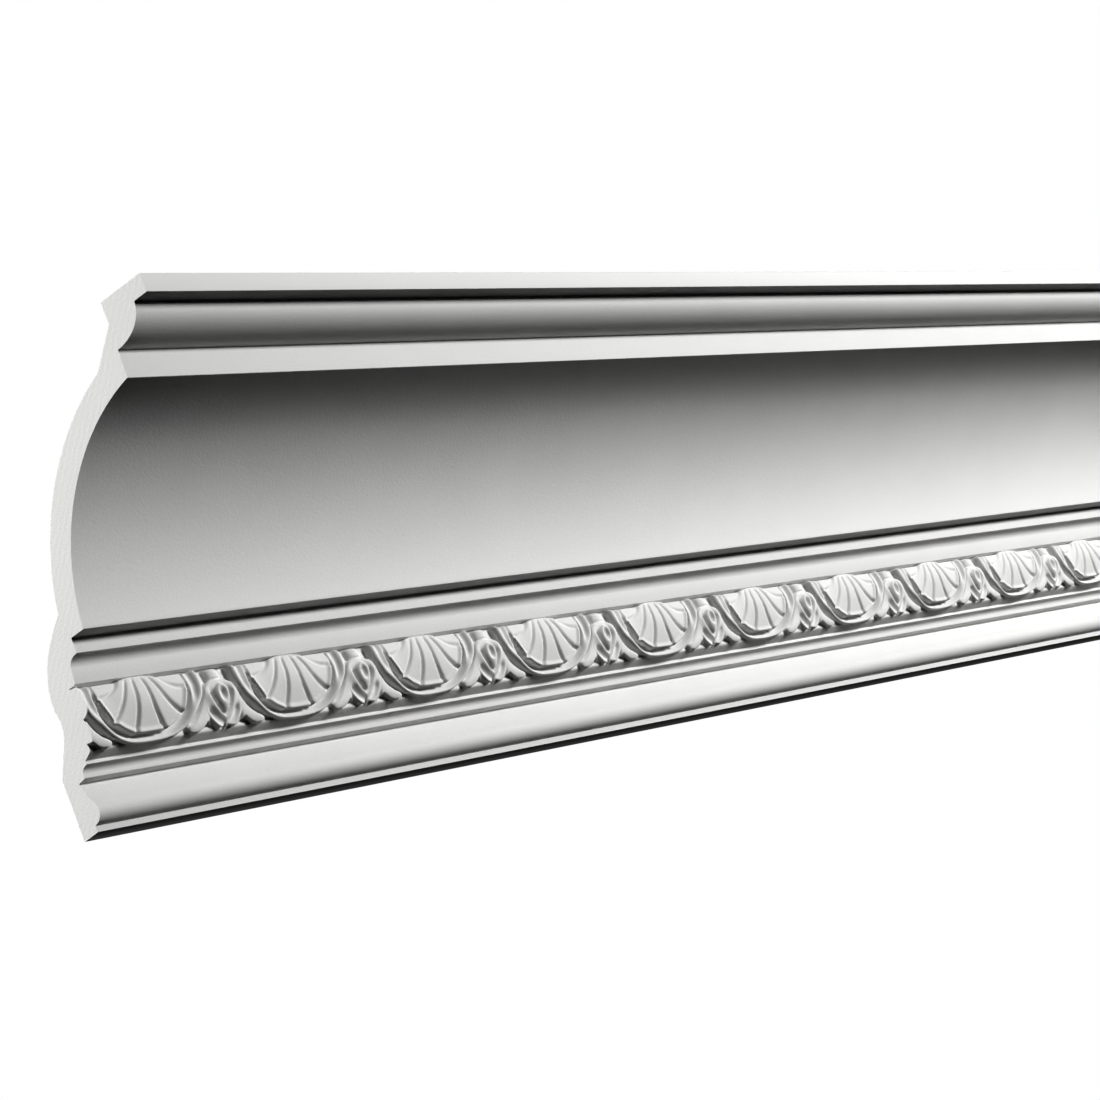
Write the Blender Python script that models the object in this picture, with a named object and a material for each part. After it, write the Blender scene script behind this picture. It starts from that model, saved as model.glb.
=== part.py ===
"""Cornice moulding section: one cast length with a deep cove above a carved band.

Metres, +Z up.  X runs along the length, +Y goes into the wall and +Z up to the ceiling.
The origin is the middle of the flat face that is fixed to the wall.

The section is worked out in millimetres as points (out, up): out from the wall, up from the
bottom edge.  The band is worked out as a relief: how far each point stands out from a curved
bed, for a place given along the length and down the bed.
"""
import math

import bmesh
import bpy
import numpy as np
from mathutils import Vector
from mathutils.geometry import delaunay_2d_cdt, tessellate_polygon

MM = 0.001

# Overall sizes, in millimetres like every size below
REPEATS = 10
REPEAT_LENGTH = 84.0
MOULDING_HEIGHT = 175.0
PROJECTION = 131.2

# Members above the cove, from the ceiling down
TOP_FILLET_HEIGHT = 7.7
TOP_SOFFIT_DEPTH = 7.6
OVOLO_OUT = 16.3
OVOLO_HEIGHT = 11.8
COVE_FILLET_HEIGHT = 11.3

# Cove: a hollow arc between two levels
COVE_RADIUS = 81.8
COVE_START_ANGLE = 99.7
COVE_END_ANGLE = 174.2
COVE_FILLET_LEAN = 0.6

# Members between the cove and the band
COVE_SOFFIT_DEPTH = 7.7
COVE_SOFFIT_DROP = 0.3
MIDDLE_FILLET_HEIGHT = 6.3
CAP_HOLLOW_OUT = 5.8
CAP_HOLLOW_HEIGHT = 4.3
CAP_FACE_HEIGHT = 5.8
CAP_FACE_SLOPE = 0.9

# Carved band: a curved bed with the relief standing on it
BED_SINK = 4.0
BED_SOFFIT_DROP = 0.4
BED_HEIGHT = 27.5
BED_FOOT_IN = 5.1
BED_BULGE = 3.97
SETTLE_SHARE = 0.3

# Heights of the carving above the bed
SHELL_RELIEF = 4.1
SHELL_SCOOP = 0.95
SHELL_LIP_RISE = 1.1
GROOVE_CUT = 1.0
WEB_DROP = 1.3
WEB_TILT = 1.0
WEB_FOLD_CUT = 0.6
STRAP_RELIEF = 3.9
STRAP_OUTER_GAIN = 0.35
STRAP_CHANNEL_CUT = 1.7
LEAF_RELIEF = 2.3
LEAF_TIP_GAIN = 1.4
LEAF_CROWN = 0.9
LEAFLET_SINK = 1.2
LEAFLET_FOLD_RISE = 1.9
ARM_RELIEF = 3.5
ARM_FLOOR = 1.2
BULB_RELIEF = 4.9
EYE_CUT = 2.6
STEM_RELIEF = 3.4
TAB_RELIEF = 2.5
LEDGE_RELIEF = 2.4

# Members below the band
LIP_HEIGHT = 1.5
LIP_OUT = 0.3
LOW_HOLLOW_OUT = 3.9
LOW_HOLLOW_HEIGHT = 2.8
LOW_HOLLOW_FILLET = 1.5
NECK_SOFFIT_DEPTH = 4.0
NECK_SOFFIT_RISE = 0.7
NECK_HEIGHT = 9.2
NECK_HANDLE_OUT = 2.4
NECK_HANDLE_SHARE = 0.72
BEAD_RADIUS = 4.9
BEAD_OUT = 0.6
BEAD_START_ANGLE = 40
BEAD_END_ANGLE = -80
BOTTOM_FILLET_IN = 4.8

# Back of the section, relieved behind the two flat faces that are glued
WALL_SEAT_HEIGHT = 25.4
CEILING_SEAT_DEPTH = 23.6
CEILING_SEAT_THICKNESS = 9.0
COVE_WALL = 11.4
COVE_BACK_FOOT_ANGLE = 168.5
COVE_BACK_TOP_ANGLE = 107
BAND_WALL = 12.4
BAND_BACK_FOOT_ANGLE = -35
BEND_HANDLE_IN = 1.0
BEND_HANDLE_UP = 1.5

# Where the left cut falls: this far along from the axis of a bud
CUT_FROM_BUD = 11.3

# Fineness of the solid
COVE_STEPS = 14
ROUND_STEPS = 6
LINE_STEPS = 2
MERGE_DISTANCE = 0.5
FOLLOW_CLEARANCE = 0.8
FILL_SPACING = 3.8
FILL_CLEARANCE = 2.6
TWIN_DISTANCE = 0.05
ON_EDGE = 1e-4

# The ornament is drawn on a grid: steps from a shell's axis to a bud's axis, and down the bed
GRID_ACROSS = 42
GRID_DOWN = 30

# The shell and the strap round it, as (across, down) from the shell's axis, in steps
STRAP_INNER = [(25.7, 0), (25.2, 4.5), (24.4, 8.5), (23.2, 12.9), (20.6, 16.8), (16.6, 20.6),
               (11.2, 23.6), (5.6, 25.2), (0, 25.7)]
STRAP_OUTER = [(32.6, 0), (32.2, 4.0), (31.0, 9.0), (28.3, 15.0), (24.6, 19.8), (19.6, 23.8),
               (13.0, 26.2), (6.5, 27.3), (0, 27.6)]
STRAP_INNER_FALL = 1.2
STRAP_OUTER_FALL = 1.9
CHANNEL_END = 23.5
CHANNEL_FADE = 8
SHELL_RIM = [(23.9, 7.4), (22.6, 10.2), (20.6, 13.6), (18.3, 17.3), (13.4, 20.1), (8.9, 22.2),
             (8.2, 23.2), (7.2, 22.3), (3.6, 22.4), (0, 22.6)]
SHELL_EYE = -6.5
SCOOP_START = 13
SCOOP_RUN = 12
LIP_WIDTH = 2.4
INNER_GROOVE = [(2.0, 0.6), (2.9, 4.0), (3.7, 9.6), (4.9, 14.8), (8.2, 23.2)]
OUTER_GROOVE = [(5.6, 0.6), (7.4, 4.0), (10.4, 9.0), (13.6, 13.0), (18.3, 17.3)]
GROOVE_WIDTH = 0.75
WEB_FOLD = [(9.6, 0.8), (12.6, 4.4), (18.0, 6.9), (24.2, 7.9)]
FOLD_WIDTH = 0.6
TOP_FALL = 1.2
SHELL_TOP_EDGE = 0.6
EDGE_FALL = 0.9

# The bud and its leaves, as (beside, down) from the bud's axis, in steps
LEAF_EDGE = [(0, 6.2), (4.6, 6.8), (7.8, 8.4), (9.8, 11.6), (11.8, 15.2), (14.5, 18.9),
             (18.2, 22.4), (21.7, 23.8)]
LEAF_FOOT = [(21.7, 23.8), (18.6, 24.9), (14.6, 24.6), (11.8, 23.4), (10.4, 21.9)]
LEAFLET_FOOT = [(10.4, 21.9), (9.1, 23.6), (6.4, 24.9), (3.6, 24.8), (1.8, 25.0), (0, 25.4)]
LEAF_RIB = [(6.4, 10.0), (8.6, 15.0), (12.0, 19.6), (18.0, 23.0)]
RIB_WIDTH = 2.0
LEAFLET_REACH = 9.5
LEAFLET_TOP = 17
LEAFLET_FOLD = [(8.4, 18.8), (7.3, 21.4), (5.0, 23.4), (2.2, 24.3)]
ARM = [(6.0, 9.6), (6.8, 11.5), (6.5, 14.2), (4.9, 17.7), (2.4, 20.3), (0, 21.5)]
ARM_WIDTH = 1.0
BULB_DOWN = 12.3
BULB_SIZE = (3.9, 5.9)
EYE_SIZE = (1.6, 2.4)
STEM_TOP = 20.5
STEM_FOOT = 26.2
STEM_WIDTH = 1.0
TAB_HALF_WIDTH = 4.8
TAB_FOOT = 5.6

# The ledge along the foot of the band, in steps down
LEDGE_TOP = 23.0
LEDGE_CREST = 26.0

HALF_REPEAT = REPEAT_LENGTH / 2
LENGTH = REPEATS * REPEAT_LENGTH


def remove_everything():
    for thing in list(bpy.data.objects):
        bpy.data.objects.remove(thing, do_unlink=True)


def arc(centre, radii, start, end, steps):
    """Points of an elliptical arc, angles in degrees, both ends included."""
    angles = np.radians(np.linspace(start, end, steps + 1))
    return [(centre[0] + radii[0] * math.cos(a), centre[1] + radii[1] * math.sin(a)) for a in angles]


def bezier(first, handle, last, steps):
    """Points of a quadratic curve, both ends included."""
    points = []
    for share in np.linspace(0, 1, steps + 1):
        a = (1 - share) ** 2
        b = 2 * share * (1 - share)
        c = share ** 2
        points.append((a * first[0] + b * handle[0] + c * last[0], a * first[1] + b * handle[1] + c * last[1]))
    return points


def circle_through(first, middle, last):
    """Centre and radius of the circle through three points."""
    (ax, ay), (bx, by), (cx, cy) = first, middle, last
    twice_area = 2 * (ax * (by - cy) + bx * (cy - ay) + cx * (ay - by))
    a2, b2, c2 = ax * ax + ay * ay, bx * bx + by * by, cx * cx + cy * cy
    x = (a2 * (by - cy) + b2 * (cy - ay) + c2 * (ay - by)) / twice_area
    y = (a2 * (cx - bx) + b2 * (ax - cx) + c2 * (bx - ax)) / twice_area
    return (x, y), math.hypot(ax - x, ay - y)


def angle_at(centre, point):
    return math.atan2(point[1] - centre[1], point[0] - centre[0])


class Section:
    """The outline in two runs: round the back and front from the band's top to its foot."""

    def __init__(self):
        front_top = MOULDING_HEIGHT - TOP_FILLET_HEIGHT
        ovolo_tip = (PROJECTION - TOP_SOFFIT_DEPTH, front_top)
        ovolo_foot = (ovolo_tip[0] - OVOLO_OUT, front_top - OVOLO_HEIGHT)
        cove_top = (ovolo_foot[0] - COVE_FILLET_LEAN, ovolo_foot[1] - COVE_FILLET_HEIGHT)
        start = math.radians(COVE_START_ANGLE)
        cove_centre = (cove_top[0] - COVE_RADIUS * math.cos(start), cove_top[1] - COVE_RADIUS * math.sin(start))
        cove = arc(cove_centre, (COVE_RADIUS, COVE_RADIUS), COVE_START_ANGLE, COVE_END_ANGLE, COVE_STEPS)
        cove_foot = cove[-1]
        fillet_top = (cove_foot[0] - COVE_SOFFIT_DEPTH, cove_foot[1] - COVE_SOFFIT_DROP)
        fillet_foot = (fillet_top[0], fillet_top[1] - MIDDLE_FILLET_HEIGHT)
        hollow_corner = (fillet_foot[0], fillet_foot[1] - CAP_HOLLOW_HEIGHT)
        cap_hollow = arc(hollow_corner, (CAP_HOLLOW_OUT, CAP_HOLLOW_HEIGHT), 90, 180, ROUND_STEPS)
        cap_top = cap_hollow[-1]
        cap_lip = (cap_top[0] - CAP_FACE_SLOPE, cap_top[1] - CAP_FACE_HEIGHT)
        bed_top = (cap_lip[0] - BED_SINK, cap_lip[1] - BED_SOFFIT_DROP)
        bed_foot = (bed_top[0] - BED_FOOT_IN, bed_top[1] - BED_HEIGHT)
        chord = Vector(bed_foot) - Vector(bed_top)
        outwards = Vector((-chord.y, chord.x)).normalized()
        middle = (Vector(bed_top) + Vector(bed_foot)) / 2 + outwards * BED_BULGE
        self.bed_centre, self.bed_radius = circle_through(bed_top, tuple(middle), bed_foot)
        self.bed_start = angle_at(self.bed_centre, bed_top)
        self.bed_depth = self.bed_radius * (self.bed_start - angle_at(self.bed_centre, bed_foot))
        self.soffit_angle = angle_at(bed_top, cap_lip)

        lip_foot = (bed_foot[0] + LIP_OUT, bed_foot[1] - LIP_HEIGHT)
        low_corner = (lip_foot[0], lip_foot[1] - LOW_HOLLOW_HEIGHT)
        low_hollow = arc(low_corner, (LOW_HOLLOW_OUT, LOW_HOLLOW_HEIGHT), 90, 180, ROUND_STEPS // 2)
        hollow_foot = (low_hollow[-1][0], low_hollow[-1][1] - LOW_HOLLOW_FILLET)
        neck_top = (hollow_foot[0] - NECK_SOFFIT_DEPTH, hollow_foot[1] - NECK_SOFFIT_RISE)
        bead_rise = BEAD_RADIUS * math.sin(math.radians(BEAD_START_ANGLE))
        bead_centre = (neck_top[0] + BEAD_OUT, neck_top[1] - NECK_HEIGHT - bead_rise)
        bead = arc(bead_centre, (BEAD_RADIUS, BEAD_RADIUS), BEAD_START_ANGLE, BEAD_END_ANGLE, ROUND_STEPS)
        neck_handle = (neck_top[0] + NECK_HANDLE_OUT, neck_top[1] - NECK_HEIGHT * NECK_HANDLE_SHARE)
        neck = bezier(neck_top, neck_handle, bead[0], ROUND_STEPS)
        bottom_out = bead_centre[0] + BEAD_RADIUS - BOTTOM_FILLET_IN

        seat_back = PROJECTION - CEILING_SEAT_DEPTH
        seat_foot = MOULDING_HEIGHT - CEILING_SEAT_THICKNESS
        back_radius = COVE_RADIUS + COVE_WALL
        back_cove = arc(cove_centre, (back_radius, back_radius), COVE_BACK_FOOT_ANGLE, COVE_BACK_TOP_ANGLE,
                        COVE_STEPS // 2)
        band_back_radius = self.bed_radius - BAND_WALL
        band_back = arc(self.bed_centre, (band_back_radius, band_back_radius), BAND_BACK_FOOT_ANGLE,
                        math.degrees(self.bed_start), ROUND_STEPS // 2)
        handle = (band_back[-1][0] - BEND_HANDLE_IN, (band_back[-1][1] + back_cove[0][1]) / 2 + BEND_HANDLE_UP)
        bend = bezier(band_back[-1], handle, back_cove[0], ROUND_STEPS)

        above = [(seat_back, seat_foot), (seat_back, MOULDING_HEIGHT), (PROJECTION, MOULDING_HEIGHT),
                 (PROJECTION, front_top)]
        above += arc((ovolo_foot[0], front_top), (OVOLO_OUT, OVOLO_HEIGHT), 0, -90, ROUND_STEPS)
        above += cove + [fillet_top, fillet_foot] + cap_hollow[1:] + [cap_lip]
        below = [lip_foot] + low_hollow[1:] + [hollow_foot] + neck[:-1] + bead
        below += [(bottom_out, bead[-1][1]), (bottom_out, 0.0), (0.0, 0.0), (0.0, WALL_SEAT_HEIGHT)]
        below += band_back[:-1] + bend[:-1] + back_cove
        self.above = without_twins(above)
        self.below = without_twins(below)

    def on_bed(self, down, height):
        """Out and up of points standing a height off the bed, a distance down it."""
        bed_angle = self.bed_start - down / self.bed_radius
        turn_in = smooth_step(down / (SETTLE_SHARE * self.bed_depth))
        angle = self.soffit_angle + (bed_angle - self.soffit_angle) * turn_in
        out = self.bed_centre[0] + self.bed_radius * np.cos(bed_angle) + height * np.cos(angle)
        up = self.bed_centre[1] + self.bed_radius * np.sin(bed_angle) + height * np.sin(angle)
        return out, up


def without_twins(points):
    """Drop a point that repeats the one before it."""
    kept = []
    for point in points:
        if not kept or math.dist(kept[-1], point) > TWIN_DISTANCE:
            kept.append(point)
    return kept


def smooth_step(share):
    share = np.clip(share, 0.0, 1.0)
    return share * share * (3 - 2 * share)


def rounded(share):
    """Height of a round-backed bead: 1 on its crest, 0 at its edge."""
    return np.sqrt(np.clip(1 - share * share, 0.0, 1.0))


def through(points, steps):
    """A smooth line through drawn points, with a few steps between each two."""
    points = np.array(points, dtype=float)
    padded = np.vstack([2 * points[0] - points[1], points, 2 * points[-1] - points[-2]])
    line = []
    for index in range(1, len(padded) - 2):
        a, b, c, d = padded[index - 1:index + 3]
        for share in np.arange(steps) / steps:
            line.append(0.5 * (2 * b + (c - a) * share + (2 * a - 5 * b + 4 * c - d) * share ** 2
                               + (3 * b - a - 3 * c + d) * share ** 3))
    line.append(points[-1])
    return np.array(line)


def offset(line, distance):
    """The line moved sideways: to the left of its run for a positive distance."""
    run = np.gradient(line, axis=0)
    run /= np.linalg.norm(run, axis=1, keepdims=True)
    return line + distance * np.stack([run[:, 1], -run[:, 0]], axis=1)


def distance_to(line, across, down):
    """Shortest distance from each place to a line, and how far along it, as a share."""
    best = np.full(across.shape, 1e9)
    along = np.zeros(across.shape)
    for index in range(len(line) - 1):
        ax, ay = line[index]
        dx, dy = line[index + 1] - line[index]
        if dx == 0 and dy == 0:
            continue
        share = np.clip(((across - ax) * dx + (down - ay) * dy) / (dx * dx + dy * dy), 0.0, 1.0)
        gap = np.hypot(across - ax - share * dx, down - ay - share * dy)
        nearer = gap < best
        best = np.where(nearer, gap, best)
        along = np.where(nearer, (index + share) / (len(line) - 1), along)
    return best, along


def inside(outline, across, down):
    """True inside a closed outline."""
    result = np.zeros(across.shape, dtype=bool)
    for (ax, ay), (bx, by) in zip(outline, np.roll(outline, -1, axis=0)):
        if ay == by:
            continue
        result ^= ((ay > down) != (by > down)) & (across < (bx - ax) * (down - ay) / (by - ay) + ax)
    return result


def depth_inside(outline, across, down):
    """Distance to a closed outline, positive inside it and negative outside."""
    gap, _ = distance_to(np.vstack([outline, outline[:1]]), across, down)
    return np.where(inside(outline, across, down), gap, -gap)


def looped(line):
    """A half outline closed over the axis and well above the band."""
    mirrored = line[-2::-1] * np.array([-1, 1])
    high = line[0][1] - GRID_DOWN
    return np.vstack([line, mirrored, [(-line[0][0], high), (line[0][0], high)]])


class Ornament:
    """One half repeat of the carving, from the axis of a shell to the axis of a bud."""

    def __init__(self, section):
        self.stretch = np.array([HALF_REPEAT / GRID_ACROSS, section.bed_depth / GRID_DOWN])
        self.inner = through(STRAP_INNER, LINE_STEPS)
        self.outer = through(STRAP_OUTER, LINE_STEPS)
        self.rim = np.array(SHELL_RIM, dtype=float)
        self.grooves = [through(INNER_GROOVE, LINE_STEPS), through(OUTER_GROOVE, LINE_STEPS)]
        self.web = through(WEB_FOLD, LINE_STEPS)
        foot = through(LEAF_FOOT, LINE_STEPS)[1:]
        self.leaf = np.vstack([through(LEAF_EDGE, LINE_STEPS), foot, through(LEAFLET_FOOT, LINE_STEPS)[1:]])
        self.rib = through(LEAF_RIB, LINE_STEPS)
        self.arm = through(ARM, LINE_STEPS)
        self.fold = through(LEAFLET_FOLD, LINE_STEPS)

    def shell(self, across, down):
        """Five shallow lobes with bright lips, cut apart by grooves that run up to the shell's eye."""
        depth = depth_inside(looped(self.rim), across, down)
        rim_gap, _ = distance_to(self.rim, across, down)
        reach = np.hypot(across, down - SHELL_EYE)
        height = SHELL_RELIEF - SHELL_SCOOP * smooth_step((reach - SCOOP_START) / SCOOP_RUN)
        height = height + SHELL_LIP_RISE * smooth_step(1 - rim_gap / LIP_WIDTH)
        for groove in self.grooves:
            gap, along = distance_to(groove, across, down)
            share = (1 + along) / 2
            height = height - GROOVE_CUT * share * np.exp(-(gap / (GROOVE_WIDTH * share)) ** 2)
        web_gap, _ = distance_to(self.web, across, down)
        corner = [(GRID_ACROSS, WEB_FOLD[-1][1]), (GRID_ACROSS, -GRID_DOWN), (WEB_FOLD[0][0], -GRID_DOWN)]
        over_web = inside(np.vstack([self.web, corner]), across, down)
        web = SHELL_RELIEF - WEB_DROP + WEB_TILT * down / WEB_FOLD[-1][1]
        height = np.where(over_web, web + (height - web) * smooth_step(1 - web_gap / FOLD_WIDTH), height)
        height = height - WEB_FOLD_CUT * np.exp(-(web_gap / FOLD_WIDTH) ** 2)
        top = SHELL_TOP_EDGE + SHELL_TOP_EDGE * smooth_step(across / GRID_ACROSS * 3)
        return height * smooth_step((depth + EDGE_FALL / 2) / EDGE_FALL) * smooth_step((down - top) / TOP_FALL)

    def strap(self, across, down):
        """A band round the shell: two ridges beside a channel, one round bead under the shell."""
        from_inner, _ = distance_to(self.inner, across, down)
        from_outer, _ = distance_to(self.outer, across, down)
        in_inner = inside(looped(self.inner), across, down)
        in_outer = inside(looped(self.outer), across, down)
        share = from_inner / (from_inner + from_outer + ON_EDGE)
        channel = STRAP_CHANNEL_CUT * smooth_step((CHANNEL_END - down) / CHANNEL_FADE) * np.sin(np.pi * share) ** 2
        ribbon = STRAP_RELIEF + STRAP_OUTER_GAIN * share - channel
        within = STRAP_RELIEF * rounded(from_inner / STRAP_INNER_FALL)
        beyond = (STRAP_RELIEF + STRAP_OUTER_GAIN) * rounded(from_outer / STRAP_OUTER_FALL)
        height = np.where(in_inner, within, np.where(in_outer, ribbon, beyond))
        return height * smooth_step((down - SHELL_TOP_EDGE) / TOP_FALL)

    def leaves(self, beside, down):
        """A big leaf with a raised rib, and a scooped leaflet with a raised rim under the bulb."""
        outline = np.vstack([self.leaf, self.leaf[::-1] * np.array([-1, 1])])
        depth = depth_inside(outline, beside, down)
        rib_gap, _ = distance_to(self.rib, beside, down)
        height = LEAF_RELIEF + LEAF_TIP_GAIN * smooth_step((down - ARM[1][1]) / ARM[1][1])
        height = height + LEAF_CROWN * np.exp(-(rib_gap / RIB_WIDTH) ** 2) * smooth_step((down - LEAF_EDGE[2][1]) / 4)
        fold_gap, _ = distance_to(self.fold, beside, down)
        leaflet = smooth_step((LEAFLET_REACH - beside) / 1.6) * smooth_step((down - LEAFLET_TOP) / 2.5)
        height = height - leaflet * (LEAFLET_SINK - LEAFLET_FOLD_RISE * np.exp(-(fold_gap / ARM_WIDTH) ** 2))
        return height * smooth_step((depth + EDGE_FALL / 3) / EDGE_FALL)

    def bud(self, beside, down):
        """Two arms that meet in a V, a dark floor inside them, and the bulb with its eye."""
        body = self.leaves(beside, down)
        arm_gap, _ = distance_to(self.arm, beside, down)
        arm = ARM_RELIEF * np.exp(-(arm_gap / ARM_WIDTH) ** 4)
        outline = np.vstack([self.arm, self.arm[::-1] * np.array([-1, 1])])
        in_arm = depth_inside(outline, beside, down)
        floor = smooth_step(in_arm / (ARM_WIDTH + 0.3))
        body = np.where(in_arm > 0, body + (ARM_FLOOR - body) * floor, body)
        bulb_gap = np.hypot(beside / BULB_SIZE[0], (down - BULB_DOWN) / BULB_SIZE[1])
        eye_gap = np.hypot(beside / EYE_SIZE[0], (down - BULB_DOWN) / EYE_SIZE[1])
        bulb = BULB_RELIEF * rounded(bulb_gap) - EYE_CUT * np.exp(-eye_gap ** 4)
        stem = STEM_RELIEF * np.exp(-(beside / STEM_WIDTH) ** 4)
        stem = stem * smooth_step((down - STEM_TOP) / 1.5) * smooth_step((STEM_FOOT - down) / 1.2)
        return np.maximum.reduce([body, arm, np.where(bulb_gap < 1, bulb, 0.0), stem])

    def tab(self, beside, down):
        """The short rounded tab above each bud."""
        side = np.clip(beside / TAB_HALF_WIDTH, 0, 1)
        body = TAB_RELIEF * rounded(side ** 3) * smooth_step((TAB_FOOT + EDGE_FALL / 2 - down) / EDGE_FALL)
        return body * smooth_step((down - SHELL_TOP_EDGE) / TOP_FALL)

    def ledge(self, down):
        rise = LEDGE_RELIEF * smooth_step((down - LEDGE_TOP) / (LEDGE_CREST - LEDGE_TOP))
        return rise * rounded(np.clip((down - LEDGE_CREST) / (GRID_DOWN - LEDGE_CREST), 0.0, 1.0))

    def height(self, across, down):
        """Relief in millimetres at places given in millimetres from a shell's axis and down the bed."""
        across = np.asarray(across, dtype=float) / self.stretch[0]
        down = np.asarray(down, dtype=float) / self.stretch[1]
        beside = GRID_ACROSS - across
        parts = [self.shell(across, down), self.strap(across, down), self.bud(beside, down),
                 self.tab(beside, down), self.ledge(down)]
        return np.maximum.reduce(parts)

    def creases(self):
        """The edges that faces never cross, in millimetres."""
        shell = [self.inner, self.outer, self.rim, self.web[::2], offset(self.inner, -STRAP_INNER_FALL)[::2]]
        for groove in self.grooves:
            coarse = groove[::2]
            shell += [coarse, offset(coarse, GROOVE_WIDTH * 1.5), offset(coarse, -GROOVE_WIDTH * 1.5)]
        arm = self.arm[::2]
        bud = [self.leaf[::2], arm, self.ring(BULB_SIZE, 1.0, 6)]
        bud.append(np.array([(TAB_HALF_WIDTH, 0.0), (TAB_HALF_WIDTH, TAB_FOOT), (0.0, TAB_FOOT)]))
        levels = [SHELL_TOP_EDGE + TOP_FALL, LEDGE_CREST]
        across = [np.array([(0.0, down), (GRID_ACROSS, down)]) for down in levels]
        return self.spread_out(shell, bud, across)

    def followers(self):
        """Rows of points beside the creases, along crests and down hollows, in millimetres."""
        middle = (self.inner + self.outer) / 2
        shell = [middle[::2], offset(self.outer, STRAP_OUTER_FALL)[::2], offset(self.rim, EDGE_FALL),
                 offset(self.web, GROOVE_WIDTH * 1.5)[::2], offset(self.web, -GROOVE_WIDTH * 1.5)[::2]]
        arm = self.arm[::2]
        bud = [offset(self.leaf, -EDGE_FALL)[::2], self.rib[::2], self.fold[::2], offset(arm, ARM_WIDTH),
               offset(arm, -ARM_WIDTH), self.ring(BULB_SIZE, 0.75, 5), self.ring(EYE_SIZE, 1.0, 4),
               np.array([(0.0, BULB_DOWN)])]
        down = (LEDGE_CREST + 2 * GRID_DOWN) / 3
        across = [np.array([(share * GRID_ACROSS, down) for share in np.linspace(0, 1, 8)])]
        return self.spread_out(shell, bud, across)

    def spread_out(self, shell, bud, across):
        turned = [line * np.array([-1, 1]) + np.array([GRID_ACROSS, 0]) for line in bud]
        return [line * self.stretch for line in shell + turned + across]

    @staticmethod
    def ring(size, share, steps):
        """The half of an oval round the bulb's middle that lies beside the bud's axis."""
        return np.array(arc((0.0, BULB_DOWN), (size[0] * share, size[1] * share), 90, -90, steps))


def clipped(line, end):
    """The parts of a line that lie between the shell's axis, at 0, and the bud's axis, at the end."""
    pieces = []
    for first, second in zip(line[:-1], line[1:]):
        low, high = sorted((first[0], second[0]))
        if high <= 0 or low >= end:
            continue
        shares = [0.0, 1.0]
        if high - low > ON_EDGE:
            shares = sorted(((0 - first[0]) / (second[0] - first[0]), (end - first[0]) / (second[0] - first[0])))
            shares = [max(0.0, shares[0]), min(1.0, shares[1])]
        a = first + (second - first) * shares[0]
        b = first + (second - first) * shares[1]
        if pieces and np.linalg.norm(pieces[-1][-1] - a) < ON_EDGE:
            pieces[-1].append(b)
        else:
            pieces.append([a, b])
    return pieces


class Net:
    """Half a repeat of the band as triangles, from the axis of a shell to the axis of a bud."""

    def __init__(self, section, ornament):
        self.depth = section.bed_depth
        self.places = [(0.0, 0.0), (HALF_REPEAT, 0.0), (HALF_REPEAT, self.depth), (0.0, self.depth)]
        self.edges = [(0, 1), (1, 2), (2, 3), (3, 0)]
        for line in ornament.creases():
            line[:, 1] = np.clip(line[:, 1], 0.0, self.depth)
            for piece in clipped(line, HALF_REPEAT):
                rows = [self.point_at(*place) for place in piece]
                self.edges += [(a, b) for a, b in zip(rows[:-1], rows[1:]) if a != b]
        for line in ornament.followers():
            for across, down in line:
                self.add_if_clear(across, down, FOLLOW_CLEARANCE)
        rows = max(2, round(self.depth / FILL_SPACING))
        columns = max(2, round(HALF_REPEAT / FILL_SPACING))
        for row in range(1, rows):
            for column in range(columns):
                across = (column + 0.25 + 0.5 * (row % 2)) * HALF_REPEAT / columns
                self.add_if_clear(across, row * self.depth / rows, FILL_CLEARANCE)
        flat, _, triangles, _, _, _ = delaunay_2d_cdt(
            [Vector(place) for place in self.places], self.edges, [], 0, TWIN_DISTANCE)
        across = np.array([place[0] for place in flat])
        down = np.array([place[1] for place in flat])
        near = 2 * TWIN_DISTANCE
        across[across < near] = 0.0
        across[across > HALF_REPEAT - near] = HALF_REPEAT
        down[down < near] = 0.0
        down[down > self.depth - near] = self.depth
        self.across = across
        self.triangles = [t for t in triangles if spread(across, down, t) > ON_EDGE]
        self.out, self.up = section.on_bed(down, ornament.height(across, down))
        self.shell_side = [int(index) for index in np.flatnonzero(across == 0.0)]
        self.bud_side = [int(index) for index in np.flatnonzero(across == HALF_REPEAT)]

    def gaps(self, across, down):
        taken = np.array(self.places)
        return np.hypot(taken[:, 0] - across, taken[:, 1] - down)

    def point_at(self, across, down):
        """Number of the point at a place: one that is there already, or a new one."""
        gaps = self.gaps(across, down)
        nearest = int(np.argmin(gaps))
        if gaps[nearest] < MERGE_DISTANCE:
            return nearest
        self.places.append((float(across), float(down)))
        return len(self.places) - 1

    def add_if_clear(self, across, down, clearance):
        """A loose point, left out where it would crowd the points or the border."""
        border = min(across, HALF_REPEAT - across, down, self.depth - down)
        if border > clearance / 2 and np.min(self.gaps(across, down)) > clearance:
            self.places.append((float(across), float(down)))


def spread(across, down, triangle):
    """Area of a triangle of the net, before it is raised."""
    a, b, c = triangle
    return abs((across[b] - across[a]) * (down[c] - down[a]) - (across[c] - across[a]) * (down[b] - down[a])) / 2


def zip_strip(mesh, first, second):
    """Join two rows of points that run the same way, triangle by triangle."""
    a, b = 0, 0
    while a < len(first) - 1 or b < len(second) - 1:
        step_first = b == len(second) - 1
        if a < len(first) - 1 and b < len(second) - 1:
            step_first = first[a + 1].co.x <= second[b + 1].co.x
        if step_first:
            mesh.faces.new((first[a], first[a + 1], second[b]))
            a += 1
        else:
            mesh.faces.new((first[a], second[b + 1], second[b]))
            b += 1


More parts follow.
